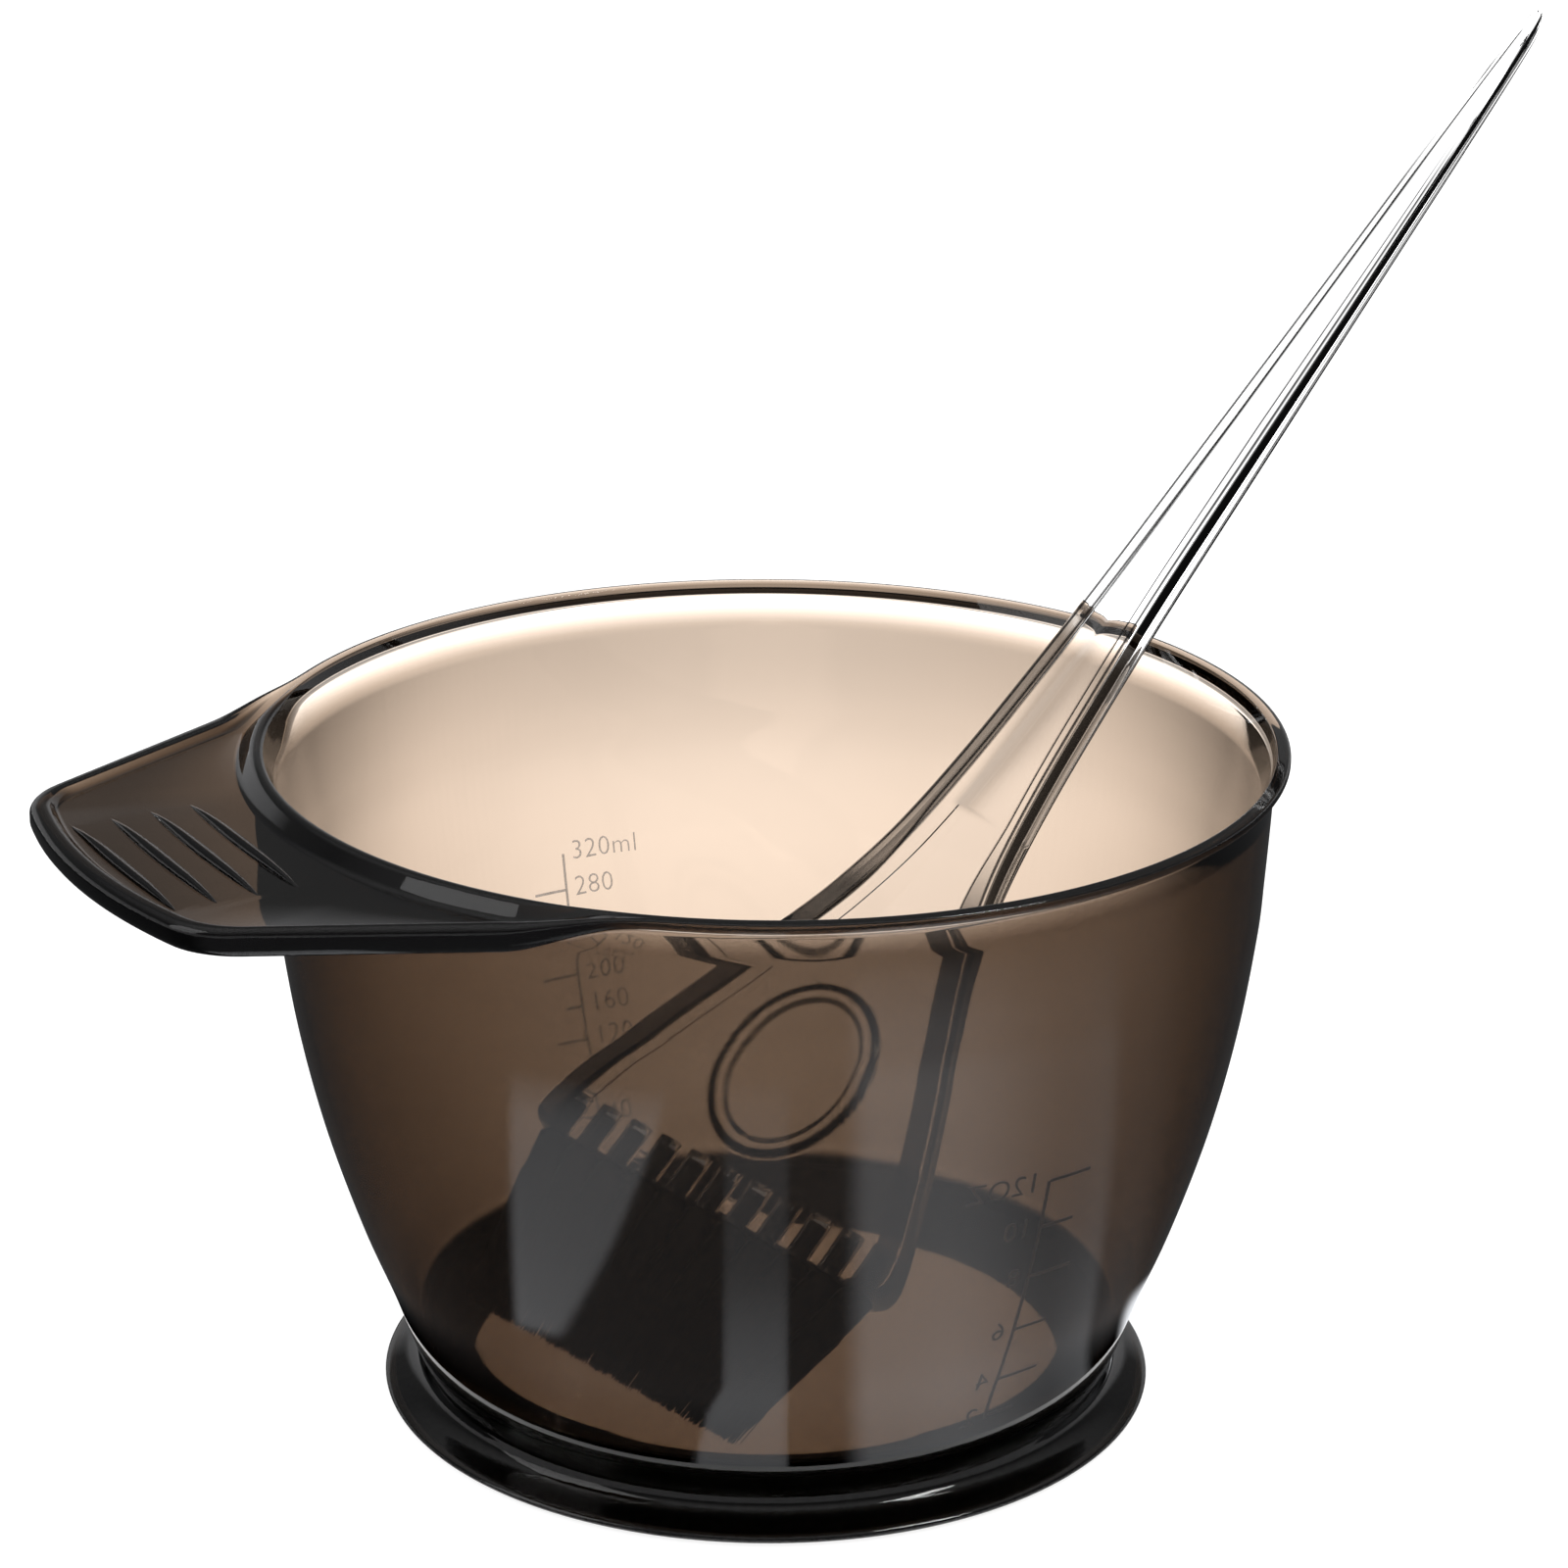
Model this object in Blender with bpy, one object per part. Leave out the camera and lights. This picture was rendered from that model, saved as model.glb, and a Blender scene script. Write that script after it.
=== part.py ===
"""Hair colour mixing bowl with a grip ear, a non-slip ring in its foot, and a tint brush.

Everything is in metres with +Z up. The origin is the middle of the whole set's footprint box, on
the table. The bowl's own axis stands at BOWL_X; the grip ear points along -X and the brush leans
out over the rim towards +X, with its bristles on the bowl's floor.
"""
import math

import bmesh
import bpy
from mathutils import Matrix, Vector

MM = 0.001

# --- driving dimensions of the bowl, in metres, radii from the bowl's own axis ---
BOWL_X = -0.02548           # the bowl's axis, seen from the middle of the set's box
WALL_T = 0.0017
FLOOR_Z = 0.0088            # inner floor, above the table
FLOOR_T = 0.0014
FLOOR_CORNER_R = 0.0020     # inside, where the wall meets the floor
TURN_STEPS = 60
# Curves of the turned outline, as (radius, height above the table) in millimetres.
# The lip flares to 63.5 at 85.5 high, and the foot to 48.6.
LIP_CURVE = ((61.6, 85.35), (62.3, 85.5), (63.0, 85.4), (63.5, 84.9), (63.4, 84.2), (62.6, 83.6),
             (61.7, 82.4))
WALL_CURVE = ((61.4, 77.3), (60.4, 63.0), (58.5, 50.3), (55.6, 37.6), (51.6, 24.9), (47.9, 15.4),
              (45.6, 8.8), (43.8, 4.2))
FOOT_CURVE = ((44.3, 3.1), (45.5, 2.3), (47.0, 1.8), (48.2, 1.4), (48.6, 0.95), (48.3, 0.5))
# The hollow under the foot, which takes the non-slip ring. The moulding stands clear of the table.
RECESS_CURVE = ((47.7, 0.4), (46.4, 0.75), (44.9, 1.3), (43.4, 2.2), (42.5, 3.4), (42.2, 4.8))
INNER_LIP_CURVE = ((60.9, 84.6), (60.2, 82.8))

# --- grip ear ---
EAR_ARC_X = -0.0052         # centre of the ear's outer arc, from the bowl's axis
EAR_ARC_R = 0.0855
EAR_CORNER_R = 0.0100
EAR_SIDE_START = Vector((-0.0427, 0.0469))     # where a side leaves the lip
EAR_SIDE_ANGLE = math.radians(206.3)           # the way that side runs, towards the tip
EAR_TOP = 0.0848
EAR_T = 0.0034
EAR_BORDER = 0.0026         # raised border round the dished top
EAR_DISH = 0.0012
EAR_ROOT_R = 0.0608         # the ear is buried in the wall down to this radius
EAR_DISH_R = 0.0655         # the dish stops at this radius, short of the lip
GRIP_RIBS = 4
GRIP_RIB_X = -0.0850        # outermost rib, from the bowl's axis
GRIP_RIB_PITCH = 0.0050
GRIP_RIB_HALF = 0.0155
GRIP_RIB_W = 0.0016
GRIP_RIB_H = 0.0007
GRIP_RIB_TIP_W = 0.0002     # width left at a rib's pointed ends

# --- non-slip ring ---
RING_IN_R = 0.0381
RING_TOP = 0.0071
RING_EDGE = 0.0005          # chamfer where the ring meets the table, inside
# Outside of the ring, about 0.3 clear of the recess, as (radius, height) in millimetres
RING_CURVE = ((41.9, 4.75), (42.2, 3.3), (43.2, 2.0), (44.8, 1.0), (46.3, 0.45), (46.5, 0.2), (46.2, 0.0))

# --- brush: s runs from the bristle tips to the tail, t to its left, n out of its upper face ---
TIP_POINT = Vector((-0.0341, -0.0184, 0.0154))  # middle of the bristle tips, from the bowl's axis
BRUSH_HEADING = math.radians(17.46)             # of the handle, from +X towards +Y
BRUSH_RISE = math.radians(37.26)
BRUSH_ROLL = math.radians(14.07)                # right-hand side lower
BLOCK_S = 0.0240            # face of the head that the bristles leave
BLOCK_T = 0.0060
# (s, half width, thickness) along the handle in millimetres, from the head's face to the tail
HANDLE_STATIONS = (
    (24.0, 24.9, 6.0), (24.8, 25.9, 6.0), (26.5, 26.4, 6.0), (29.5, 25.9, 6.0), (35.0, 24.1, 6.0),
    (42.0, 21.6, 6.0), (49.0, 18.8, 6.1), (56.0, 15.8, 6.2), (63.0, 12.9, 6.3), (70.0, 10.4, 6.4),
    (80.0, 7.9, 6.4), (92.0, 6.3, 6.3), (106.0, 5.2, 6.2), (125.0, 4.2, 6.0), (150.0, 3.5, 5.2),
    (180.0, 2.7, 4.1), (207.0, 1.95, 3.5), (224.0, 1.3, 3.3), (229.0, 0.9, 2.6), (231.0, 0.35, 1.2))
HANDLE_EDGE = 0.0007        # chamfer along the handle's four edges
TUFTS = 11
TUFT_PITCH = 0.0046
SOCKET_R = 0.0017
SOCKET_DEPTH = 0.0062
GAP = 0.0003                # between a tuft and its socket, and between tufts
TIP_SPREAD = 0.81           # the bundle draws in to this share of its width at the tips
ANCHOR_SIZE = (0.0008, 0.0026, 0.0004)
ANCHOR_INSET = 0.0004       # from the bottom of the socket
OVAL_S = 0.0455             # thumb oval
OVAL_HALF = (0.0128, 0.0100)
OVAL_LINE = 0.0011
OVAL_RISE = 0.0005

# --- colours: base colour and alpha, roughness, metallic ---
SMOKE = (0.17, 0.12, 0.09, 0.75)
CLEAR = (0.92, 0.93, 0.94, 0.30)
BLACK_RUBBER = (0.03, 0.03, 0.032, 1.0)
BLACK_FIBRE = (0.02, 0.02, 0.022, 1.0)
STEEL = (0.62, 0.62, 0.64, 1.0)


def clear_scene():
    for old in list(bpy.data.objects):
        bpy.data.objects.remove(old, do_unlink=True)


def make_material(name, colour, roughness, metallic=0.0):
    material = bpy.data.materials.new(name)
    material.use_nodes = True
    shader = material.node_tree.nodes["Principled BSDF"]
    shader.inputs["Base Color"].default_value = (*colour[:3], 1.0)
    shader.inputs["Alpha"].default_value = colour[3]
    shader.inputs["Roughness"].default_value = roughness
    shader.inputs["Metallic"].default_value = metallic
    return material


def add_object(name, bm, material, parent):
    """Turn a bmesh into a named object under an empty, its faces pointing out."""
    bmesh.ops.recalc_face_normals(bm, faces=bm.faces[:])
    mesh = bpy.data.meshes.new(name)
    bm.to_mesh(mesh)
    bm.free()
    mesh.shade_smooth()
    mesh.set_sharp_from_angle(angle=math.radians(35))
    piece = bpy.data.objects.new(name, mesh)
    bpy.context.scene.collection.objects.link(piece)
    if material is not None:
        mesh.materials.append(material)
    piece.parent = parent
    return piece


def add_empty(name, matrix):
    empty = bpy.data.objects.new(name, None)
    empty.empty_display_size = 0.02
    empty.matrix_basis = matrix
    bpy.context.scene.collection.objects.link(empty)
    return empty


def boolean(piece, other, operation):
    """Cut or join with another object, which stays as a guide only."""
    other.hide_render = True
    other.display_type = "WIRE"
    step = piece.modifiers.new(other.name, "BOOLEAN")
    step.operation = operation
    step.solver = "EXACT"
    step.object = other


def smooth_curve(points, steps):
    """Catmull-Rom curve through points, with steps pieces between neighbours."""
    ends = [2 * points[0] - points[1]] + points + [2 * points[-1] - points[-2]]
    curve = []
    for before, start, end, after in zip(ends, ends[1:], ends[2:], ends[3:]):
        for step in range(steps):
            u = step / steps
            curve.append(0.5 * (2 * start + (end - before) * u
                                + (2 * before - 5 * start + 4 * end - after) * u ** 2
                                + (3 * start - before - 3 * end + after) * u ** 3))
    return curve + [points[-1]]


def arc(centre, radius, start, end, steps):
    """Points on a circle from one angle to another, both ends included."""
    angles = [start + (end - start) * k / steps for k in range(steps + 1)]
    return [Vector((centre[0] + radius * math.cos(a), centre[1] + radius * math.sin(a))) for a in angles]


def radius_on(curve, z):
    """Radius of a (radius, height) curve at height z; the curve runs down."""
    for upper, lower in zip(curve, curve[1:]):
        if lower.y <= z <= upper.y:
            share = (upper.y - z) / (upper.y - lower.y)
            return upper.x + (lower.x - upper.x) * share
    return curve[-1].x


# ---------------------------------------------------------------- bowl

def in_metres(curve):
    return [Vector((radius * MM, height * MM)) for radius, height in curve]


def inner_wall(outer):
    """(radius, height) down the inside, from the lip to the rounded corner of the floor."""
    corner_z = FLOOR_Z + FLOOR_CORNER_R
    side = [Vector((p.x - WALL_T, p.y)) for p in outer if p.y > corner_z + 0.001]
    corner_x = radius_on(outer, corner_z) - WALL_T - FLOOR_CORNER_R
    corner = arc((corner_x, corner_z), FLOOR_CORNER_R, 0.0, -math.pi / 2, 3)
    return in_metres(INNER_LIP_CURVE) + side + corner


def bowl_profile():
    """Closed (radius, height) outline: lip, outside, foot, underside, then the inside upwards."""
    outer = smooth_curve(in_metres(WALL_CURVE), 2)
    recess = in_metres(RECESS_CURVE)
    under = recess + [Vector((recess[-1].x, FLOOR_Z - FLOOR_T)), Vector((0.0, FLOOR_Z - FLOOR_T))]
    inside = [Vector((0.0, FLOOR_Z))] + inner_wall(outer)[::-1]
    return in_metres(LIP_CURVE) + outer + in_metres(FOOT_CURVE) + under + inside


def turned(name, profile, material, parent):
    """Turn a closed outline about the object's Z axis with a Screw modifier."""
    mesh = bpy.data.meshes.new(name)
    count = len(profile)
    edges = [(k, (k + 1) % count) for k in range(count)]
    mesh.from_pydata([(p.x, 0.0, p.y) for p in profile], edges, [])
    piece = bpy.data.objects.new(name, mesh)
    bpy.context.scene.collection.objects.link(piece)
    mesh.materials.append(material)
    turn = piece.modifiers.new("turn", "SCREW")
    turn.axis = "Z"
    turn.steps = TURN_STEPS
    turn.render_steps = TURN_STEPS
    turn.use_merge_vertices = True
    turn.merge_threshold = 0.00001
    turn.use_smooth_shade = True
    piece.parent = parent
    return piece


def ear_side(inset):
    """Corner fillet of the ear on its +Y side: centre, and the angles where it starts and ends."""
    along = Vector((math.cos(EAR_SIDE_ANGLE), math.sin(EAR_SIDE_ANGLE)))
    inward = Vector((-along.y, along.x))
    radius = EAR_CORNER_R - inset
    start = EAR_SIDE_START + inward * inset
    # centre = start + inward * radius + along * t, at EAR_ARC_R - inset - radius from the arc's centre
    base = start + inward * radius - Vector((EAR_ARC_X, 0.0))
    reach = EAR_ARC_R - inset - radius
    dot = base.dot(along)
    t = -dot + math.sqrt(dot * dot - base.length_squared + reach * reach)
    offset = base + along * t
    centre = offset + Vector((EAR_ARC_X, 0.0))
    arc_angle = math.atan2(offset.y, offset.x)
    side_angle = math.atan2(-inward.y, -inward.x)
    return start, centre, radius, side_angle, arc_angle


def ear_root(start, root_r):
    """Where a side of the ear begins on the circle root_r about the bowl's axis."""
    if start.length > root_r:
        return [start * (root_r / start.length), start]
    along = Vector((math.cos(EAR_SIDE_ANGLE), math.sin(EAR_SIDE_ANGLE)))
    dot = start.dot(along)
    reach = -dot + math.sqrt(dot * dot - start.length_squared + root_r * root_r)
    return [start + along * reach]


def ear_outline(inset, root_r):
    """Outline of the ear in plan, anticlockwise from its +Y root, drawn in by inset."""
    start, centre, radius, side_angle, arc_angle = ear_side(inset)
    outer = arc((EAR_ARC_X, 0.0), EAR_ARC_R - inset, arc_angle, math.pi, 6)
    half = ear_root(start, root_r) + arc(centre, radius, side_angle, arc_angle, 5) + outer[1:]
    mirrored = [Vector((p.x, -p.y)) for p in half[-2::-1]]
    root_angle = math.atan2(half[0].y, half[0].x)
    root = arc((0.0, 0.0), root_r, 2 * math.pi - root_angle, root_angle, 14)
    return half + mirrored + root[1:-1]


def prism(outline, low, high):
    """Straight-sided solid on a plan outline."""
    bm = bmesh.new()
    base = bm.faces.new([bm.verts.new((p.x, p.y, low)) for p in outline])
    lifted = bmesh.ops.extrude_face_region(bm, geom=[base])
    top = [v for v in lifted["geom"] if isinstance(v, bmesh.types.BMVert)]
    bmesh.ops.translate(bm, verts=top, vec=(0.0, 0.0, high - low))
    return bm


def grip_rib(x):
    """Spindle-shaped rib across the ear, pointed at both ends."""
    sides = []
    for share in (-1.0, -0.6, 0.0, 0.6, 1.0):
        half = 0.5 * (GRIP_RIB_TIP_W + GRIP_RIB_W * (1.0 - share ** 2))
        sides.append((share * GRIP_RIB_HALF, half))
    outline = [Vector((x + half, y)) for y, half in sides]
    outline += [Vector((x - half, y)) for y, half in reversed(sides)]
    floor = EAR_TOP - EAR_DISH
    return prism(outline, floor - 0.0005, floor + GRIP_RIB_H)


def make_bowl(material, axis):
    """Bowl, foot and ear are one moulding."""
    bowl = turned("bowl_shell", bowl_profile(), material, axis)
    plate = prism(ear_outline(0.0, EAR_ROOT_R), EAR_TOP - EAR_T, EAR_TOP)
    ear = add_object("ear_plate_guide", plate, None, axis)
    hollow = prism(ear_outline(EAR_BORDER, EAR_DISH_R), EAR_TOP - EAR_DISH, EAR_TOP + 0.002)
    dish = add_object("ear_dish_guide", hollow, None, axis)
    boolean(bowl, ear, "UNION")
    boolean(bowl, dish, "DIFFERENCE")
    for index in range(GRIP_RIBS):
        spindle = grip_rib(GRIP_RIB_X + index * GRIP_RIB_PITCH)
        rib = add_object(f"grip_rib_guide_{index + 1}", spindle, None, axis)
        boolean(bowl, rib, "UNION")


def make_ring(material, axis):
    """Soft ring pressed into the hollow foot, which it fills; the set stands on it."""
    outside = in_metres(RING_CURVE)
    profile = [Vector((RING_IN_R, RING_TOP)), Vector((outside[0].x, RING_TOP))] + outside
    profile += [Vector((RING_IN_R + RING_EDGE, 0.0)), Vector((RING_IN_R, RING_EDGE))]
    turned("non_slip_ring", profile, material, axis)


# ---------------------------------------------------------------- brush

def brush_matrix():
    """Columns: s along the handle, t to its left, n out of its upper face."""
    along = Vector((math.cos(BRUSH_HEADING) * math.cos(BRUSH_RISE),
                    math.sin(BRUSH_HEADING) * math.cos(BRUSH_RISE), math.sin(BRUSH_RISE)))
    right = along.cross(Vector((0.0, 0.0, 1.0))).normalized()
    upper = right.cross(along)
    left = upper * math.sin(BRUSH_ROLL) - right * math.cos(BRUSH_ROLL)
    face = upper * math.cos(BRUSH_ROLL) + right * math.sin(BRUSH_ROLL)
    place = Matrix((along, left, face)).transposed().to_4x4()
    place.translation = TIP_POINT + Vector((BOWL_X, 0.0, 0.0))
    return place


def handle_section(bm, s, half, thick):
    """Ring of vertices round the handle at s: a rectangle with chamfered edges."""
    edge = min(HANDLE_EDGE, 0.4 * half, 0.35 * thick)
    up = 0.5 * thick
    corners = ((half - edge, up), (half, up - edge), (half, edge - up), (half - edge, -up),
               (edge - half, -up), (-half, edge - up), (-half, up - edge), (edge - half, up))
    return [bm.verts.new((s, t, n)) for t, n in corners]


def skin(bm, rings):
    """Faces between neighbouring rings of vertices."""
    for first, second in zip(rings, rings[1:]):
        for k in range(len(first)):
            j = (k + 1) % len(first)
            bm.faces.new((first[k], first[j], second[j], second[k]))


def handle_body():
    bm = bmesh.new()
    rings = [handle_section(bm, s * MM, half * MM, thick * MM) for s, half, thick in HANDLE_STATIONS]
    skin(bm, rings)
    bm.faces.new(rings[0])
    bm.faces.new(rings[-1])
    return bm


def tuft_centre(index):
    return (index - (TUFTS - 1) / 2) * TUFT_PITCH


def socket_cutters():
    """Blind round holes for the tufts, all in one guide."""
    bm = bmesh.new()
    depth = SOCKET_DEPTH + 0.001
    turn = Matrix.Rotation(math.pi / 2, 4, "Y")
    for index in range(TUFTS):
        place = Matrix.Translation((BLOCK_S - 0.001 + 0.5 * depth, tuft_centre(index), 0.0)) @ turn
        bmesh.ops.create_cone(bm, cap_ends=True, segments=12, radius1=SOCKET_R, radius2=SOCKET_R,
                              depth=depth, matrix=place)
    return bm


def oval_ring():
    """Raised oval line on the upper face, for the thumb."""
    bm = bmesh.new()
    steps = 32
    low = 0.5 * BLOCK_T - 0.0010
    high = 0.5 * BLOCK_T + OVAL_RISE
    rows = []
    for grow, n in ((0.0, low), (0.0, high), (-OVAL_LINE, high), (-OVAL_LINE, low)):
        angles = [2 * math.pi * k / steps for k in range(steps)]
        rows.append([bm.verts.new((OVAL_S + (OVAL_HALF[0] + grow) * math.cos(a),
                                   (OVAL_HALF[1] + grow) * math.sin(a), n)) for a in angles])
    skin(bm, rows + rows[:1])
    return bm


def make_handle(material, frame):
    handle = add_object("brush_handle", handle_body(), material, frame)
    boolean(handle, add_object("oval_guide", oval_ring(), None, frame), "UNION")
    boolean(handle, add_object("socket_guide", socket_cutters(), None, frame), "DIFFERENCE")


def tuft_body(centre):
    """One tuft: round in its socket, squared where it packs against its neighbours."""
    bm = bmesh.new()
    deep = BLOCK_S + SOCKET_DEPTH - ANCHOR_INSET - ANCHOR_SIZE[0] - GAP
    neck = SOCKET_R - GAP
    spread = 0.5 * TUFT_PITCH - 0.5 * GAP
    # s, share of the block's width, half width, half thickness
    sections = ((deep, 1.0, neck, neck), (BLOCK_S - 0.0004, 1.0, neck, neck),
                (BLOCK_S - 0.0050, 0.96, 0.96 * spread, 0.0021),
                (0.0005, TIP_SPREAD, TIP_SPREAD * spread, 0.0012))
    rings = []
    for number, (s, share, half_t, half_n) in enumerate(sections):
        corner = 0.38 if number < 2 else 0.72
        shape = ((1.0, corner), (corner, 1.0), (-corner, 1.0), (-1.0, corner),
                 (-1.0, -corner), (-corner, -1.0), (corner, -1.0), (1.0, -corner))
        rings.append([bm.verts.new((s, centre * share + half_t * x, half_n * y)) for x, y in shape])
    skin(bm, rings)
    bm.faces.new(rings[0])
    bm.faces.new(rings[-1])
    return bm


def make_tufts(fibre, steel, frame):
    """Bristle tufts in one row, each held in its socket by a small flat anchor across the fold."""
    for index in range(TUFTS):
        centre = tuft_centre(index)
        add_object(f"bristle_tuft_{index + 1:02d}", tuft_body(centre), fibre, frame)
        anchor = bmesh.new()
        deep = BLOCK_S + SOCKET_DEPTH - ANCHOR_INSET - 0.5 * ANCHOR_SIZE[0]
        middle = Matrix.Translation((deep, centre, 0.0))
        bmesh.ops.create_cube(anchor, size=1.0, matrix=middle @ Matrix.Diagonal((*ANCHOR_SIZE, 1.0)))
        add_object(f"tuft_anchor_{index + 1:02d}", anchor, steel, frame)


def main():
    clear_scene()
    smoke = make_material("smoky_plastic", SMOKE, 0.08)
    clear = make_material("clear_plastic", CLEAR, 0.04)
    rubber = make_material("non_slip_rubber", BLACK_RUBBER, 0.75)
    fibre = make_material("bristle_fibre", BLACK_FIBRE, 0.55)
    steel = make_material("anchor_steel", STEEL, 0.35, 1.0)

    bowl_axis = add_empty("bowl_axis", Matrix.Translation((BOWL_X, 0.0, 0.0)))
    make_bowl(smoke, bowl_axis)
    make_ring(rubber, bowl_axis)
    brush_frame = add_empty("brush_frame", brush_matrix())
    make_handle(clear, brush_frame)
    make_tufts(fibre, steel, brush_frame)


main()
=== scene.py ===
"""Looks for the hair colour bowl and its tint brush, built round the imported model."""

import math
import random

import bmesh
import bpy
import numpy as np
from mathutils import Matrix, Vector


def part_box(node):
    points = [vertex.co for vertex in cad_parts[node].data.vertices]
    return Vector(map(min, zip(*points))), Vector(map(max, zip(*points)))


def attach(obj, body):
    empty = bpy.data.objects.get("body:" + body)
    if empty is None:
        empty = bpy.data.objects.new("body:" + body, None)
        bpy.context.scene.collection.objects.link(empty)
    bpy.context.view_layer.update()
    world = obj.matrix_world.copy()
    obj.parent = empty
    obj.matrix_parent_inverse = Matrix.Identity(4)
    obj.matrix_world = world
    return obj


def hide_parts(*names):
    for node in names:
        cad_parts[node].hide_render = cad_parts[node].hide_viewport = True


MM = 0.001

# --- bowl, in millimetres; radii are from the bowl's own axis ---
WALL_CURVE = ((61.55, 80.5), (61.4, 77.3), (60.95, 70.0), (60.4, 63.0), (58.5, 50.3), (55.6, 37.6),
              (51.6, 24.9), (47.9, 15.4), (45.6, 8.8), (43.8, 4.2))
FOOT_CURVE = ((43.8, 4.2), (44.3, 3.1), (45.5, 2.3), (47.0, 1.8), (48.2, 1.4), (48.6, 0.95), (48.3, 0.5),
              (47.8, 0.4))
RECESS_CURVE = ((47.7, 0.42), (46.4, 0.75), (44.9, 1.3), (43.4, 2.2), (42.5, 3.4), (42.2, 4.8))
LIP_R = 63.5
LIP_TOP = 85.5
LIP_IN_R = 61.75
LIP_CREST_R = 62.1
LIP_UNDER_Z = 84.4              # lower edge of the lip's outer face
LIP_ROOT = (61.65, 83.7)        # where the lip's underside meets the wall, (r, z)
WALL_T_TOP = 1.35
WALL_T_LOW = 1.6
FLOOR_Z = 8.8
FLOOR_UNDER_Z = 7.55
FLOOR_CORNER_R = 2.0
EAR_TOP = 84.8
EAR_T = 3.4
EAR_UNDER_Z = EAR_TOP - EAR_T
EAR_DISH = 1.2
EAR_ARC_X = -5.2
EAR_ARC_R = 85.5
EAR_CORNER_R = 10.0
EAR_SIDE_START = Vector((-42.7, 46.9))
EAR_SIDE_ANGLE = math.radians(206.3)
EAR_BLEND = 1.2
EAR_FINE = math.radians(64.0)   # half the arc that is meshed finely, about the ear
LIP_START_Z = 80.5              # the lip's own profile takes over from the wall here
GRIP_RIBS = 4
GRIP_RIB_X = -85.0
GRIP_RIB_PITCH = 5.0
GRIP_RIB_HALF = 15.5
GRIP_RIB_W = 1.6
GRIP_RIB_H = 0.7
RING_IN_R = 38.1
RING_TOP = 7.5
RING_BED = 0.02              # the ring is bonded to the foot, with no air between

# --- brush, in millimetres: s from the bristle tips to the tail, t to its left, n out of its upper face ---
TIP_POINT = (-34.1, -18.4, 15.4)
BRUSH_HEADING = math.radians(17.46)
BRUSH_RISE = math.radians(37.26)
BRUSH_ROLL = math.radians(14.07)
BLOCK_S = 24.0                  # front face of the head, where the tufts leave it
HANDLE_STATIONS = (
    (24.0, 24.9, 6.0), (24.8, 25.9, 6.0), (26.5, 26.4, 6.0), (29.5, 25.9, 6.0), (35.0, 24.1, 6.0),
    (42.0, 21.6, 6.0), (49.0, 18.8, 6.1), (56.0, 15.8, 6.2), (63.0, 12.9, 6.3), (70.0, 10.4, 6.4),
    (80.0, 7.9, 6.4), (92.0, 6.3, 6.3), (106.0, 5.2, 6.2), (125.0, 4.2, 6.0), (150.0, 3.5, 5.2),
    (180.0, 2.7, 4.1), (207.0, 1.95, 3.5), (224.0, 1.3, 3.3), (229.0, 0.9, 2.6), (231.0, 0.35, 1.2))
BORDER_W = 1.5               # raised border of the handle, wider at the head
HEAD_BORDER_W = 3.0
BORDER_STEP = 0.45
TOP_POINTS = 121             # across the upper face, enough for the thumb oval's ridge
TUFTS = 11
TUFT_PITCH = 4.6
SOCKET_R = 1.6
SOCKET_DEPTH = 6.2
TIP_SPREAD = 0.81
TAIL_S = 230.95                 # just short of the CAD tail, so no corner passes its box
SLIM_HALF = 3.4                 # edge details shrink with the shaft below this half width
OVAL_S = 44.9
OVAL_HALF = (12.8, 10.0)
OVAL_RIDGE_W = 2.7
OVAL_RISE = 0.5
FIBRES = 150
FIBRE_R = 0.10
FIBRE_ROOT_S = 28.6
ROOT_BUNDLE_R = 1.25         # the fibres of a tuft are packed this close in its socket
TUFT_HALF_N = 1.9

# --- graduations: (label, height of its tick, length of its tick), in millimetres ---
ML_AZIMUTH = math.radians(89.5)
ML_MARKS = (("320ml", 50.8, 0.0), ("280", 46.0, 4.6), ("", 40.5, 2.4), ("200", 35.0, 5.3), ("160", 30.8, 2.4),
            ("120", 26.5, 4.4), ("80", 21.5, 2.4), ("40", 15.8, 4.4))
OZ_AZIMUTH = math.radians(-84.5)
OZ_MARKS = (("12OZ", 47.4, 6.0), ("10", 41.0, 4.6), ("8", 33.9, 6.2), ("6", 26.0, 4.6), ("4", 18.3, 5.8),
            ("2", 12.5, 4.0))
SCALE_FOOT_Z = 12.0          # lower end of both upright lines
MARK_GAP = 0.04              # the marks stand just off the inner wall
MARK_T = 0.14
CAP_SHARE = 0.7              # height of a capital over the size of the typeface

# --- view ---
VIEW_AZIMUTH = math.radians(29.679)
VIEW_PITCH = math.radians(19.909)
VIEW_ROLL = 0.0073372
VIEW_PLACE = (-0.30443, -0.49304, 0.28427)
LENS_MM = 112.69
SENSOR_MM = 36.0

# --- studio: the floor's glow as seen directly, and through the plastic ---
FLOOR_SEEN = 0.85
FLOOR_THROUGH = 6.3
FLOOR_MIDDLE = 9.0              # under the bowl, inside the ring
FOOT_SHADE_R = (0.049, 0.058)   # no light reaches the table under the foot
BACKLIGHT_WIDTH = (0.057, 0.102)   # the table is brightest in a lane behind the bowl, this wide
BACKLIGHT_SIDE = 0.25
BACKLIGHT_REACH = (0.19, 0.30)
BACKLIGHT_FAR = 0.62
FLOOR_HALF = 6.0
SKY_SEEN = 1.05
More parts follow.
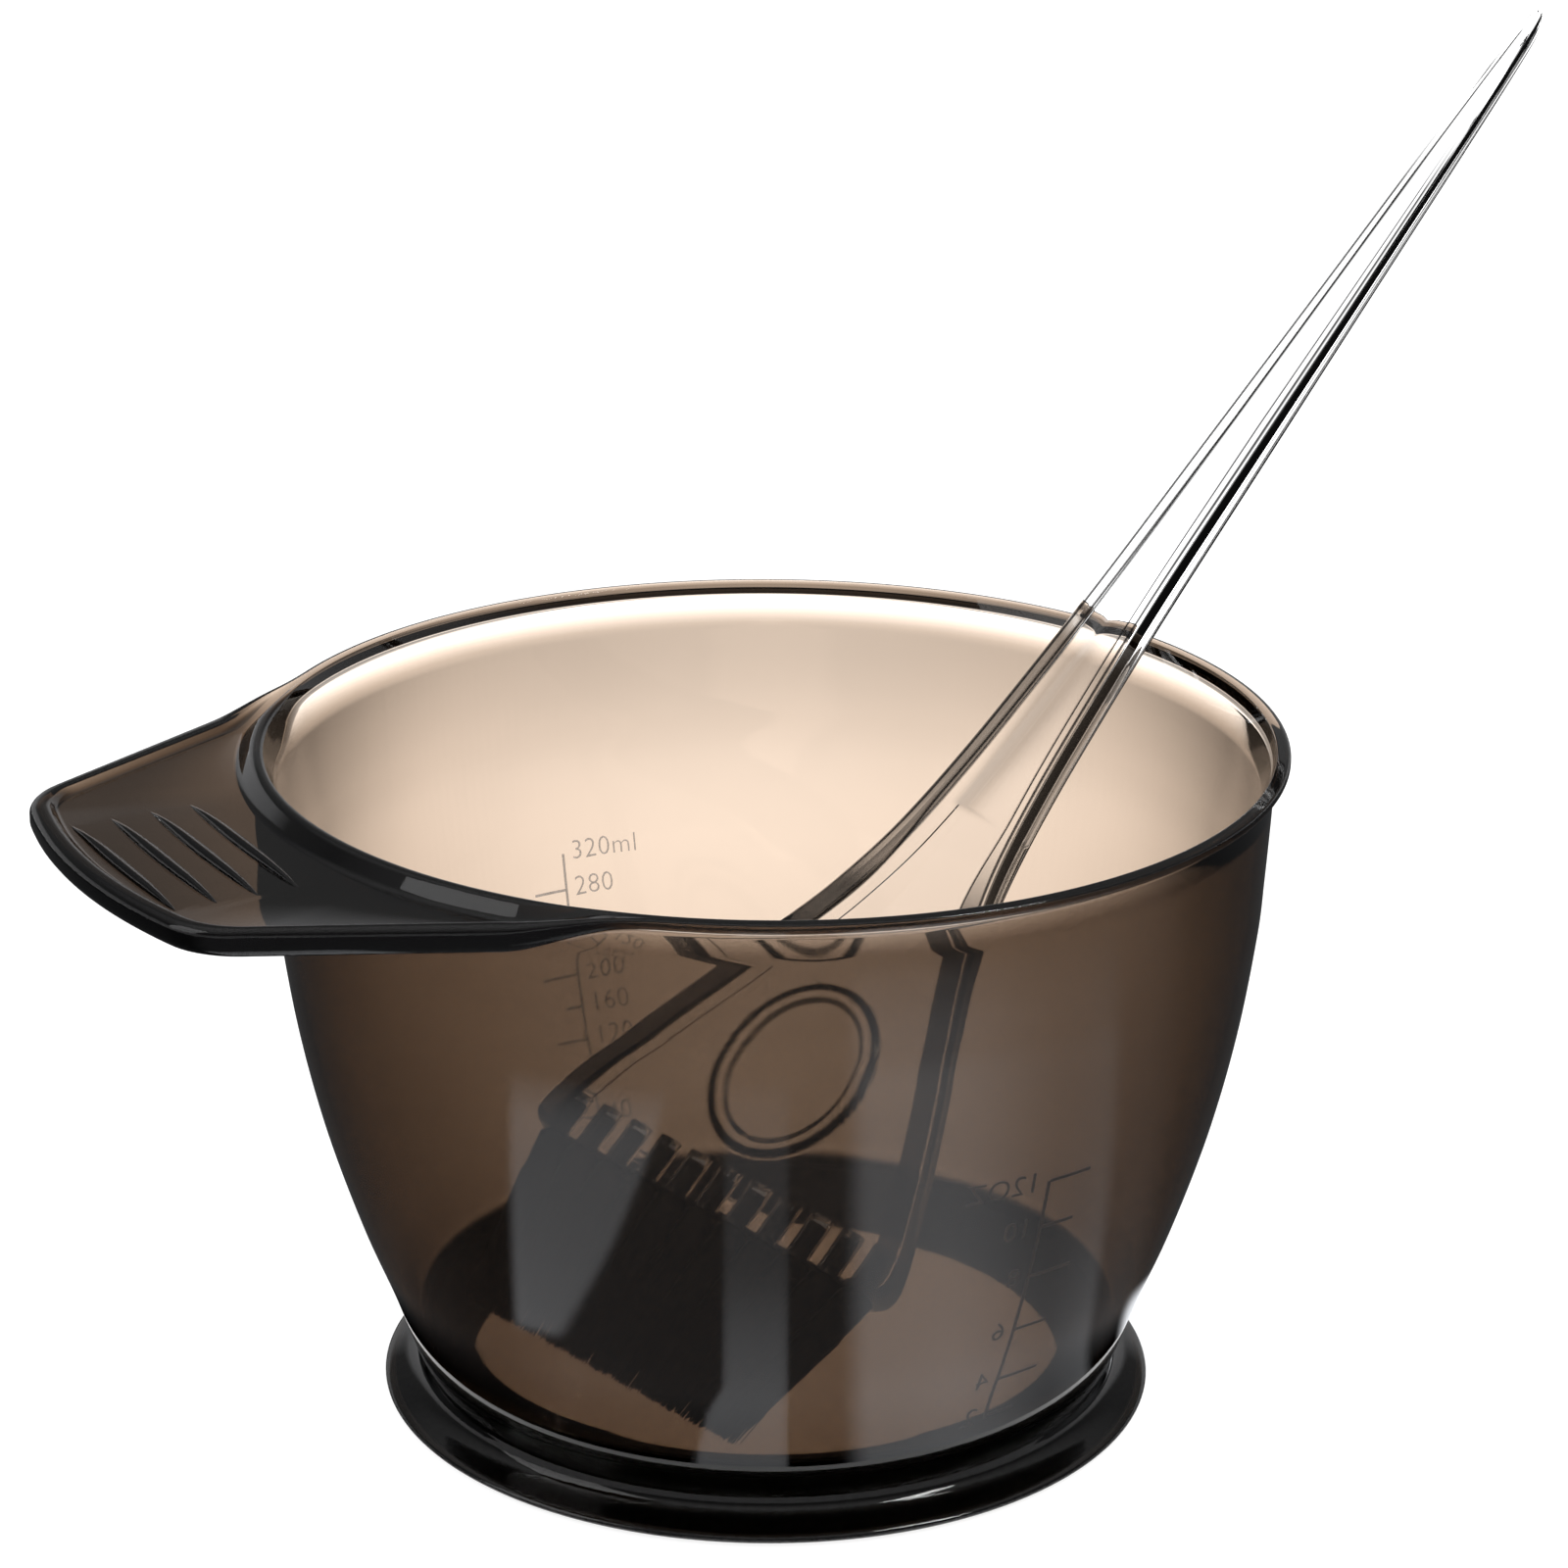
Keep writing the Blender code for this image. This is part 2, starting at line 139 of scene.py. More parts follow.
# the world's colour by the sine of the elevation, as seen through the plastic and in reflections
SKY_THROUGH = ((0.0, (1.0, 1.0, 1.0)), (0.10, (0.9, 0.9, 0.9)), (0.22, (0.03, 0.03, 0.03)),
               (0.70, (0.03, 0.03, 0.03)), (0.9, (0.3, 0.3, 0.3)))
SKY_MIRRORED = ((0.0, (0.5, 0.5, 0.51)), (0.27, (0.5, 0.5, 0.51)), (0.35, (0.12, 0.12, 0.12)),
                (0.50, (0.12, 0.12, 0.125)), (0.97, (0.6, 0.6, 0.6)))
LIGHT_TARGET = (0.0, 0.0, 0.04)
# name, place, (width, height), watts
SOFTBOXES = (("left_softbox", (-1.2, 0.25, 0.9), (1.0, 1.0), 4.0),
             ("right_softbox", (0.5, -0.6, 1.28), (0.22, 0.6), 6.0))

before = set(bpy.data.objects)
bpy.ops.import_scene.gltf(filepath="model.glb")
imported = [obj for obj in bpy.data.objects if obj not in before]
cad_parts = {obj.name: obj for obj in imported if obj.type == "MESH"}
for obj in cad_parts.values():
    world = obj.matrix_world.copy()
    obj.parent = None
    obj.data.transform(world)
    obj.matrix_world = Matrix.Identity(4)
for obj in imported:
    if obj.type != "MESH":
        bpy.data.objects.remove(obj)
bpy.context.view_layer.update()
ring_low, ring_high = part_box("non_slip_ring")
BOWL_X = 0.5 * (ring_low.x + ring_high.x)
rng = random.Random(7)


# ------------------------------------------------------------------ helpers

def smoothstep(low, high, value):
    x = min(1.0, max(0.0, (value - low) / (high - low)))
    return x * x * (3 - 2 * x)


def mesh_object(name, verts, faces, material, smooth=True):
    mesh = bpy.data.meshes.new(name)
    mesh.from_pydata([tuple(v) for v in verts], [], faces)
    mesh.validate()
    if smooth:
        mesh.shade_smooth()
    mesh.materials.append(material)
    piece = bpy.data.objects.new(name, mesh)
    bpy.context.scene.collection.objects.link(piece)
    return piece


def fix_normals(piece):
    bm = bmesh.new()
    bm.from_mesh(piece.data)
    bmesh.ops.remove_doubles(bm, verts=bm.verts[:], dist=1e-6)
    bmesh.ops.recalc_face_normals(bm, faces=bm.faces[:])
    bm.to_mesh(piece.data)
    bm.free()


def catmull(points, steps):
    points = [np.array(p, float) for p in points]
    ends = [2 * points[0] - points[1]] + points + [2 * points[-1] - points[-2]]
    curve = []
    for a, b, c, d in zip(ends, ends[1:], ends[2:], ends[3:]):
        for k in range(steps):
            u = k / steps
            curve.append(0.5 * (2 * b + (c - a) * u + (2 * a - 5 * b + 4 * c - d) * u ** 2
                                + (3 * b - a - 3 * c + d) * u ** 3))
    return curve + [points[-1]]


def rounded(corners, steps=6):
    """Polyline through (r, z, radius) corners, each rounded by its radius where there is room."""
    out = []
    for k, (r, z, radius) in enumerate(corners):
        here = np.array((r, z), float)
        if k in (0, len(corners) - 1) or radius <= 0:
            out.append(here)
            continue
        back = np.array(corners[k - 1][:2], float) - here
        ahead = np.array(corners[k + 1][:2], float) - here
        lb, la = np.linalg.norm(back), np.linalg.norm(ahead)
        cosine = float(np.clip(back @ ahead / (lb * la), -1, 1))
        half = 0.5 * (math.pi - math.acos(cosine))
        cut = min(radius * math.tan(half) if half < 1.5 else radius * 10, 0.49 * lb, 0.49 * la)
        p0, p2 = here + back / lb * cut, here + ahead / la * cut
        weight = math.cos(half)
        for j in range(steps + 1):
            u = j / steps
            b0, b1, b2 = (1 - u) ** 2, 2 * u * (1 - u) * weight, u ** 2
            out.append((b0 * p0 + b1 * here + b2 * p2) / (b0 + b1 + b2))
    return out


def boolean(piece, other, operation):
    step = piece.modifiers.new("cut", "BOOLEAN")
    step.operation = operation
    step.solver = "EXACT"
    step.object = other
    bpy.context.view_layer.update()
    evaluated = piece.evaluated_get(bpy.context.evaluated_depsgraph_get())
    mesh = bpy.data.meshes.new_from_object(evaluated)
    piece.modifiers.clear()
    old = piece.data
    piece.data = mesh
    bpy.data.meshes.remove(old)
    bpy.data.objects.remove(other, do_unlink=True)


# ------------------------------------------------------------------ materials

def new_material(name):
    material = bpy.data.materials.new(name)
    material.use_nodes = True
    tree = material.node_tree
    return material, tree, tree.nodes["Principled BSDF"]


def noise(tree, scale, detail=4.0, stretch=(1.0, 1.0, 1.0)):
    place = tree.nodes.new("ShaderNodeTexCoord")
    mapping = tree.nodes.new("ShaderNodeMapping")
    mapping.inputs["Scale"].default_value = stretch
    texture = tree.nodes.new("ShaderNodeTexNoise")
    texture.inputs["Scale"].default_value = scale
    texture.inputs["Detail"].default_value = detail
    tree.links.new(place.outputs["Object"], mapping.inputs["Vector"])
    tree.links.new(mapping.outputs["Vector"], texture.inputs["Vector"])
    return texture.outputs["Fac"]


def ramp(tree, fac, stops):
    node = tree.nodes.new("ShaderNodeValToRGB")
    while len(node.color_ramp.elements) < len(stops):
        node.color_ramp.elements.new(0.5)
    for element, (place, colour) in zip(node.color_ramp.elements, stops):
        element.position = place
        element.color = (*colour, 1.0) if len(colour) == 3 else colour
    tree.links.new(fac, node.inputs["Fac"])
    return node.outputs["Color"]


def map_range(tree, fac, low, high):
    node = tree.nodes.new("ShaderNodeMapRange")
    node.inputs["To Min"].default_value = low
    node.inputs["To Max"].default_value = high
    tree.links.new(fac, node.inputs["Value"])
    return node.outputs["Result"]


def bump(tree, shader, height, strength, distance):
    node = tree.nodes.new("ShaderNodeBump")
    node.inputs["Strength"].default_value = strength
    node.inputs["Distance"].default_value = distance
    tree.links.new(height, node.inputs["Height"])
    tree.links.new(node.outputs["Normal"], shader.inputs["Normal"])


def clear_moulding(name, ior, tint_low, tint_high, rough, absorb, density, level):
    """Glossy see-through plastic, darker where it is thicker."""
    material, tree, shader = new_material(name)
    shader.inputs["Transmission Weight"].default_value = 1.0
    shader.inputs["IOR"].default_value = ior
    shader.inputs["Specular IOR Level"].default_value = level
    cloud = noise(tree, 40.0, 3.0)
    tree.links.new(ramp(tree, cloud, ((0.3, tint_low), (0.7, tint_high))), shader.inputs["Base Color"])
    tree.links.new(map_range(tree, noise(tree, 160.0), *rough), shader.inputs["Roughness"])
    bump(tree, shader, noise(tree, 70.0, 2.0, (1.0, 1.0, 0.35)), 0.05, 0.0002)
    volume = tree.nodes.new("ShaderNodeVolumeAbsorption")
    volume.inputs["Color"].default_value = (*absorb, 1.0)
    volume.inputs["Density"].default_value = density
    tree.links.new(volume.outputs["Volume"], tree.nodes["Material Output"].inputs["Volume"])
    return material


def smoky_plastic():
    return clear_moulding("smoky_plastic_looks", 1.5, (0.93, 0.92, 0.91), (0.97, 0.96, 0.95), (0.015, 0.05),
                          (0.194, 0.097, 0.0), 1600.0, 0.5)


def clear_plastic():
    """Clear moulding with painted shade: dark lines are painted along its edges and ridges, standing in for
    the dark refractions that thick clear plastic shows.
    """
    material = clear_moulding("clear_plastic_looks", 1.3, (0.98, 0.98, 0.98), (1.0, 1.0, 1.0), (0.0, 0.02),
                              (0.6, 0.62, 0.64), 12.0, 0.9)
    tree = material.node_tree
    colour = tree.nodes["Principled BSDF"].inputs["Base Color"]
    # painted shade: a per-vertex value scales the base colour down along the handle's edges and ridges
    painted_shade = tree.nodes.new("ShaderNodeAttribute")
    painted_shade.attribute_name = "painted_shade"
    scale = tree.nodes.new("ShaderNodeVectorMath")
    scale.operation = "SCALE"
    tree.links.new(colour.links[0].from_socket, scale.inputs[0])
    tree.links.new(painted_shade.outputs["Fac"], scale.inputs["Scale"])
    tree.links.new(scale.outputs["Vector"], colour)
    return material


def rubber():
    material, tree, shader = new_material("non_slip_rubber_looks")
    grain = noise(tree, 900.0, 5.0)
    tree.links.new(ramp(tree, grain, ((0.3, (0.008, 0.008, 0.009)), (0.75, (0.022, 0.021, 0.021)))),
                   shader.inputs["Base Color"])
    tree.links.new(map_range(tree, noise(tree, 250.0), 0.6, 0.85), shader.inputs["Roughness"])
    bump(tree, shader, grain, 0.25, 0.0002)
    return material


def fibre():
    material, tree, shader = new_material("bristle_fibre_looks")
    streak = noise(tree, 220.0, 4.0)
    tree.links.new(ramp(tree, streak, ((0.3, (0.003, 0.003, 0.004)), (0.75, (0.010, 0.010, 0.011)))),
                   shader.inputs["Base Color"])
    tree.links.new(map_range(tree, noise(tree, 500.0), 0.5, 0.7), shader.inputs["Roughness"])
    shader.inputs["Specular IOR Level"].default_value = 0.2
    bump(tree, shader, streak, 0.1, 0.0001)
    return material


def scale_marks(name, alpha):
    material, tree, shader = new_material(name)
    grain = noise(tree, 700.0, 3.0)
    tree.links.new(ramp(tree, grain, ((0.3, (0.34, 0.33, 0.33)), (0.75, (0.48, 0.46, 0.45)))),
                   shader.inputs["Base Color"])
    tree.links.new(map_range(tree, noise(tree, 300.0), 0.25, 0.4), shader.inputs["Roughness"])
    shader.inputs["Alpha"].default_value = alpha
    return material


def steel():
    material, tree, shader = new_material("anchor_steel_looks")
    shader.inputs["Metallic"].default_value = 1.0
    draw = noise(tree, 900.0, 4.0, (1.0, 0.1, 1.0))
    tree.links.new(ramp(tree, draw, ((0.3, (0.50, 0.50, 0.51)), (0.7, (0.68, 0.68, 0.69)))),
                   shader.inputs["Base Color"])
    tree.links.new(map_range(tree, draw, 0.25, 0.42), shader.inputs["Roughness"])
    bump(tree, shader, draw, 0.1, 0.00005)
    return material


# ------------------------------------------------------------------ bowl

WALL = catmull(WALL_CURVE, 8)
FOOT = catmull(FOOT_CURVE, 4)


def wall_radius(z):
    for upper, lower in zip(WALL, WALL[1:]):
        if lower[1] <= z <= upper[1]:
            share = (upper[1] - z) / (upper[1] - lower[1])
            return upper[0] + (lower[0] - upper[0]) * share
    return WALL[0][0] if z > WALL[0][1] else WALL[-1][0]


def wall_thickness(z):
    return WALL_T_TOP + (WALL_T_LOW - WALL_T_TOP) * smoothstep(70.0, 10.0, z)


def inner_radius(z):
    return wall_radius(z) - wall_thickness(z)


def ear_points():
    """Outline of the ear's +Y half, from its root on the lip to the tip on the X axis."""
    along = Vector((math.cos(EAR_SIDE_ANGLE), math.sin(EAR_SIDE_ANGLE)))
    inward = Vector((-along.y, along.x))
    base = EAR_SIDE_START + inward * EAR_CORNER_R - Vector((EAR_ARC_X, 0.0))
    reach = EAR_ARC_R - EAR_CORNER_R
    dot = base.dot(along)
    t = -dot + math.sqrt(dot * dot - base.length_squared + reach * reach)
    offset = base + along * t
    centre = offset + Vector((EAR_ARC_X, 0.0))
    arc_angle = math.atan2(offset.y, offset.x)
    side_angle = math.atan2(-inward.y, -inward.x)
    points = [EAR_SIDE_START - along * 12.0]
    tangent = EAR_SIDE_START + along * t
    points += [points[0].lerp(tangent, k / 60) for k in range(1, 61)]
    points += [centre + Vector((math.cos(a), math.sin(a))) * EAR_CORNER_R
               for a in np.linspace(side_angle, arc_angle, 40)[1:]]
    points += [Vector((EAR_ARC_X + EAR_ARC_R * math.cos(a), EAR_ARC_R * math.sin(a)))
               for a in np.linspace(arc_angle, math.pi, 50)[1:]]
    return points


EAR_AZIMUTHS, EAR_RADII = zip(*sorted((math.atan2(p.y, p.x), p.length) for p in ear_points()))


def outer_radius(azimuth):
    """Plan radius of the lip and ear together at an azimuth, the ear being about 180 degrees."""
    a = abs((azimuth + math.pi) % (2 * math.pi) - math.pi)
    if a < EAR_AZIMUTHS[0]:
        return LIP_R
    ear = float(np.interp(a, EAR_AZIMUTHS, EAR_RADII))
    k = EAR_BLEND
    h = max(0.0, 1.0 - abs(ear - LIP_R) / k)
    return max(ear, LIP_R) + h * h * k * 0.25 if ear > LIP_R - k else LIP_R


def lip_profile(azimuth):
    """(r, z) from the inner wall over the lip, out over the ear where there is one, and back under it."""
    outer = outer_radius(azimuth)
    width = outer - LIP_R
    dish = smoothstep(0.0, 7.0, width)
    drop = smoothstep(0.0, 6.0, width)
    top = LIP_TOP - (LIP_TOP - EAR_TOP) * drop
    floor = top - EAR_DISH * dish
    crest = LIP_CREST_R + 1.0 * dish
    bead_in = outer - 0.7 - 1.6 * dish
    low = LIP_UNDER_Z - (LIP_UNDER_Z - EAR_UNDER_Z) * drop
    root = LIP_ROOT[1] - (LIP_ROOT[1] - EAR_UNDER_Z) * drop
    corners = [(inner_radius(LIP_START_Z), LIP_START_Z, 0.0),
               (inner_radius(LIP_START_Z) + 0.75, 83.2, 2.0),
               (LIP_IN_R, LIP_TOP, 0.6),
               (crest, LIP_TOP, 0.3 + 0.6 * dish),
               (crest + 0.3 + 1.4 * dish, floor, 0.3 + 1.0 * dish),
               (bead_in - 0.3 - 0.6 * dish, floor, 0.3 + 0.7 * dish),
               (bead_in, top, 0.3 + 0.5 * dish),
               (outer, top, 1.0 + 0.5 * drop),
               (outer, low, 0.6 + 0.8 * drop),
               (LIP_ROOT[0], root, 1.0 + 0.8 * drop),
               (WALL_CURVE[0][0], LIP_START_Z - 1.6 * drop, 0.0)]
    return rounded(corners)


def bowl_azimuths():
    ear = list(np.linspace(math.pi - EAR_FINE, math.pi + EAR_FINE, 257))
    rest = list(np.linspace(math.pi + EAR_FINE, 3 * math.pi - EAR_FINE, 161))[1:-1]
    return ear + rest


def inner_profile():
    """(r, z) up the inside from the middle of the floor to just under the lip."""
    corner_z = FLOOR_Z + FLOOR_CORNER_R
    corner_x = inner_radius(corner_z) - FLOOR_CORNER_R
    floor = [np.array((r, FLOOR_Z)) for r in np.linspace(0.0, corner_x, 8)][1:]
    corner = [np.array((corner_x + FLOOR_CORNER_R * math.sin(a), corner_z - FLOOR_CORNER_R * math.cos(a)))
              for a in np.linspace(0.0, math.pi / 2, 9)[1:]]
    side = [np.array((inner_radius(z), z)) for z in np.linspace(corner_z, 79.5, 48)[1:]]
    return floor + corner + side


def under_profile():
    """(r, z) from the foot's edge, up the hollow that takes the ring, to the middle of the floor."""
    recess_r = RECESS_CURVE[-1][0]
    ceiling = ((recess_r, FLOOR_UNDER_Z - 0.4), (recess_r - 0.3, FLOOR_UNDER_Z), (30.0, FLOOR_UNDER_Z),
               (15.0, FLOOR_UNDER_Z))
    return catmull(RECESS_CURVE, 4) + [np.array(p) for p in ceiling]


def grip_ribs():
    bm = bmesh.new()
    floor = EAR_TOP - EAR_DISH
    for index in range(GRIP_RIBS):
        x = GRIP_RIB_X + index * GRIP_RIB_PITCH
        rows = []
        for share in np.linspace(-1.0, 1.0, 25):
            half = 0.5 * GRIP_RIB_W * math.sqrt(max(0.0, 1.0 - share ** 2)) * (1 - 0.35 * share ** 2) + 0.05
            rise = GRIP_RIB_H * (1.0 - share ** 4) + 0.02
            ring = [(x - half, floor - 0.3), (x - half, floor)]
            ring += [(x - half * math.cos(a), floor + rise * math.sin(a))
                     for a in np.linspace(0, math.pi, 9)[1:-1]]
            ring += [(x + half, floor), (x + half, floor - 0.3)]
            rows.append([bm.verts.new((px * MM, share * GRIP_RIB_HALF * MM, pz * MM)) for px, pz in ring])
        for first, second in zip(rows, rows[1:]):
            for k in range(len(first)):
                j = (k + 1) % len(first)
                bm.faces.new((first[k], first[j], second[j], second[k]))
        bm.faces.new(rows[0])
        bm.faces.new(rows[-1])
    bmesh.ops.recalc_face_normals(bm, faces=bm.faces[:])
    mesh = bpy.data.meshes.new("grip_ribs")
    bm.to_mesh(mesh)
    bm.free()
    piece = bpy.data.objects.new("grip_ribs", mesh)
    bpy.context.scene.collection.objects.link(piece)
    return piece


def make_bowl(material):
    azimuths = bowl_azimuths()
    inside = inner_profile()
    below = FOOT + under_profile()
    rows = []
    for azimuth in azimuths:
        lip = lip_profile(azimuth)
        end = lip[-1][1]
        outside = [np.array((wall_radius(z), z)) for z in np.linspace(end, 5.4, 70)[1:]]
        rows.append(inside + lip + outside + below)
    count = len(rows[0])
    verts, faces = [], []
    for azimuth, row in zip(azimuths, rows):
        c, s = math.cos(azimuth), math.sin(azimuth)
        verts += [(r * MM * c, r * MM * s, z * MM) for r, z in row]
    total = len(azimuths)
    for i in range(total):
        j = (i + 1) % total
        for k in range(count - 1):
            faces.append((i * count + k, j * count + k, j * count + k + 1, i * count + k + 1))
    top, under = len(verts), len(verts) + 1
    verts += [(0.0, 0.0, FLOOR_Z * MM), (0.0, 0.0, FLOOR_UNDER_Z * MM)]
    for i in range(total):
        j = (i + 1) % total
        faces.append((top, j * count, i * count))
        faces.append((under, i * count + count - 1, j * count + count - 1))
    bowl = mesh_object("mixing_bowl", verts, faces, material)
    fix_normals(bowl)
    boolean(bowl, grip_ribs(), "UNION")
    bowl.data.materials.clear()
    bowl.data.materials.append(material)
    bowl.data.shade_smooth()
    bowl.data.set_sharp_from_angle(angle=math.radians(40))
    bowl.location.x = BOWL_X
    return bowl


def turned(name, outline, material, steps=192):
    verts, faces = [], []
    count = len(outline)
    for i in range(steps):
        a = 2 * math.pi * i / steps
        verts += [(r * MM * math.cos(a), r * MM * math.sin(a), z * MM) for r, z in outline]
        j = (i + 1) % steps
        for k in range(count):
            m = (k + 1) % count
            faces.append((i * count + k, j * count + k, j * count + m, i * count + m))
    piece = mesh_object(name, verts, faces, material)
    fix_normals(piece)
    piece.location.x = BOWL_X
    return piece


def make_ring(material):
    """Soft ring with shallow tread grooves under it."""
    hollow = [(r + RING_BED, z + RING_BED) for r, z in catmull(RECESS_CURVE, 4)[::-1] if r < 47.2]
    top = [(RING_IN_R + 0.4, RING_TOP), (hollow[0][0] - 0.3, RING_TOP + 0.07), (hollow[0][0], RING_TOP - 0.4)]
    outer = hollow + [(hollow[-1][0], 0.2), (hollow[-1][0] - 0.3, 0.0)]
    tread = []
    for middle in (45.6, 44.4, 43.2, 42.0, 40.8, 39.6):
        tread += [(middle + 0.25, 0.0), (middle + 0.15, 0.3), (middle - 0.15, 0.3), (middle - 0.25, 0.0)]
    inner = [(RING_IN_R + 0.5, 0.0), (RING_IN_R + 0.15, 0.15), (RING_IN_R, 0.5), (RING_IN_R, RING_TOP - 0.4)]
    return turned("foot_ring", top + outer + tread + inner, material)


# ------------------------------------------------------------------ graduations

def bar(azimuth_out, low, high, offset, thickness):
    """Eight corners of a small block on the inner wall, from (across, z) low to high."""
    corners = []
    for depth in (offset, offset + thickness):
        for across, z in ((low[0], low[1]), (high[0], low[1]), (high[0], high[1]), (low[0], high[1])):
            corners.append(wall_point(azimuth_out, across, z, depth))
    return corners


def wall_point(azimuth, across, z, depth):
    """Point depth in front of the inner wall; across runs to the right as seen from inside."""
    radius = inner_radius(z)
    angle = azimuth - across / radius
    r = (radius - depth) * MM
    return (r * math.cos(angle), r * math.sin(angle), z * MM)


def scale_lines(azimuth, marks, line):
    """The upright line and its ticks, as short blocks that follow the curve of the wall."""
    verts, faces = [], []
    quads = ((0, 3, 2, 1), (4, 5, 6, 7), (0, 1, 5, 4), (1, 2, 6, 5), (2, 3, 7, 6), (3, 0, 4, 7))

    def add(corners):
        start = len(verts)
        verts.extend(corners)
        faces.extend(tuple(start + k for k in quad) for quad in quads)

    top = marks[0][1]
    levels = np.linspace(SCALE_FOOT_Z, top, 24)
    for low, high in zip(levels, levels[1:]):
        add(bar(azimuth, (-0.5 * line, low), (0.5 * line, high), MARK_GAP, MARK_T))
    for label, z, tick in marks:
        if tick == 0.0:
            continue
        steps = np.linspace(-0.5 * line - tick, -0.5 * line, 5)
        for left, right in zip(steps, steps[1:]):
            add(bar(azimuth, (left, z - 0.5 * line), (right, z + 0.5 * line), MARK_GAP, MARK_T))
    return verts, faces


def label_mesh(text, height, thin):
    """Flat numerals as a mesh in the XY plane, standing on the base line, in millimetres."""
    curve = bpy.data.curves.new("label", "FONT")
    curve.body = text
    curve.size = height / CAP_SHARE
    curve.resolution_u = 3
    curve.extrude = 0.5 * MARK_T
    curve.offset = -thin
    curve.space_character = 1.05
    carrier = bpy.data.objects.new("label", curve)
    bpy.context.scene.collection.objects.link(carrier)
    bpy.context.view_layer.update()
    evaluated = carrier.evaluated_get(bpy.context.evaluated_depsgraph_get())
    mesh = bpy.data.meshes.new_from_object(evaluated)
    verts = [tuple(v.co) for v in mesh.vertices]
    faces = [tuple(p.vertices) for p in mesh.polygons]
    bpy.data.objects.remove(carrier, do_unlink=True)
    bpy.data.curves.remove(curve)
    bpy.data.meshes.remove(mesh)
    return verts, faces


def make_scale(name, azimuth, marks, line, height, gap, thin, material):
    """One graduation: its lines are line wide, its numerals height tall, gap away and thinned by thin."""
    verts, faces = scale_lines(azimuth, marks, line)
    for label, z, tick in marks:
        if not label:
            continue
        flat, polygons = label_mesh(label, height, thin)
        start = len(verts)
        verts += [wall_point(azimuth, gap + x, z - 0.35 * height + y, MARK_GAP + 0.5 * MARK_T + d)
                  for x, y, d in flat]
        faces += [tuple(start + k for k in polygon) for polygon in polygons]
    piece = mesh_object(name, verts, faces, material, smooth=False)
    fix_normals(piece)
    piece.location.x = BOWL_X
    return piece


# ------------------------------------------------------------------ brush

def brush_matrix():
    along = Vector((math.cos(BRUSH_HEADING) * math.cos(BRUSH_RISE),
                    math.sin(BRUSH_HEADING) * math.cos(BRUSH_RISE), math.sin(BRUSH_RISE)))
    right = along.cross(Vector((0.0, 0.0, 1.0))).normalized()
    upper = right.cross(along)
    left = upper * math.sin(BRUSH_ROLL) - right * math.cos(BRUSH_ROLL)
    face = upper * math.cos(BRUSH_ROLL) + right * math.sin(BRUSH_ROLL)
    place = Matrix((along, left, face)).transposed().to_4x4()
    place.translation = Vector(TIP_POINT) * MM + Vector((BOWL_X, 0.0, 0.0))
    return place


def handle_sizes():
    """(s, half width, thickness) along the handle, close enough together to look smooth."""
    curve = catmull(HANDLE_STATIONS, 12)
    s = np.array([p[0] for p in curve])
    half = np.array([p[1] for p in curve])
    thick = np.array([p[2] for p in curve])
    where = np.concatenate([np.linspace(24.0, 24.6, 4)[:-1], np.linspace(24.6, 31.0, 20)[:-1],
                            np.linspace(31.0, 60.0, 125)[:-1], np.linspace(60.0, 224.0, 110)[:-1],
                            np.linspace(224.0, TAIL_S, 24)])
    return [(w, float(np.interp(w, s, half)), float(np.interp(w, s, thick))) for w in where]


def oval_distance(s, t):
    """Distance outside the thumb oval's outer edge, negative inside it."""
    a, b = OVAL_HALF
    ds = s - OVAL_S
    rho = math.hypot(ds / a, t / b)
    if rho < 0.3:
        return -0.7 * b
    slope = math.hypot(ds / (a * a), t / (b * b)) / rho
    return (rho - 1.0) / slope


def oval_height(distance):
    """The ridge has a broad outer flank and a narrow inner one."""
    outer_flank = smoothstep(0.1, -0.9, distance)
    inner_flank = smoothstep(-OVAL_RIDGE_W, 0.6 - OVAL_RIDGE_W, distance)
    return OVAL_RISE * outer_flank * inner_flank


def band(low, high, value, soft=0.12):
    """1 between low and high, fading to 0 just outside."""
    return smoothstep(low - soft, low + soft, value) * smoothstep(high + soft, high - soft, value)


# painted shade: dark lines on the thumb oval's ridge, 1 where the plastic is left clear
def oval_painted_shade(distance):
    dark = max(band(-1.15, 0.05, distance), 0.96 * band(-OVAL_RIDGE_W, 0.65 - OVAL_RIDGE_W, distance))
    return 1.0 - dark


